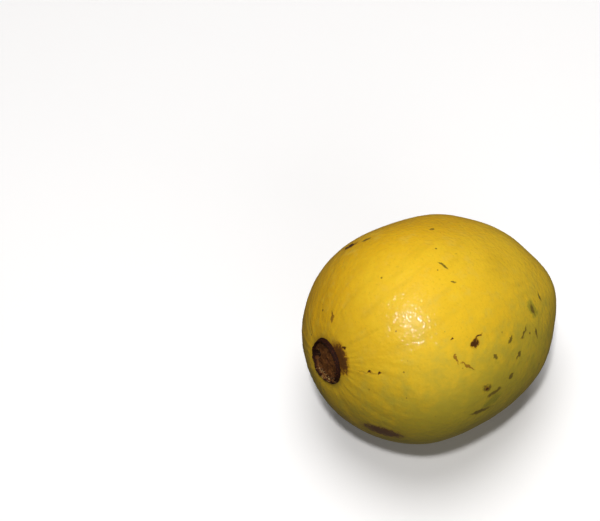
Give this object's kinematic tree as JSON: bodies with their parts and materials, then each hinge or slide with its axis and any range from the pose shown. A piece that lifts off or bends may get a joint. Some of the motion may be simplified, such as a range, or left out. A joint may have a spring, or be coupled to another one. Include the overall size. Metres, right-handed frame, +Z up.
{
  "type": "ripe guava fruit",
  "caption": "Ripe yellow guava, pear-like and slightly lumpy, lying on its side, with a dried calyx ring at the wide end and a stem scar at the other.",
  "frame": {"origin": "middle of the small flat spot that the fruit rests on", "axes": "+Z up; the fruit lies along X, with the calyx end towards -X and raised 18 degrees, and the stem end towards +X"},
  "size_m": [0.0792, 0.0678, 0.069],
  "materials": {
    "skin": "waxy, finely pebbled yellow fruit skin with a soft sheen, greener underneath, with small brown blemishes"
  },
  "bodies": {
    "root": {"guava": "skin"}
  },
  "joints": []
}
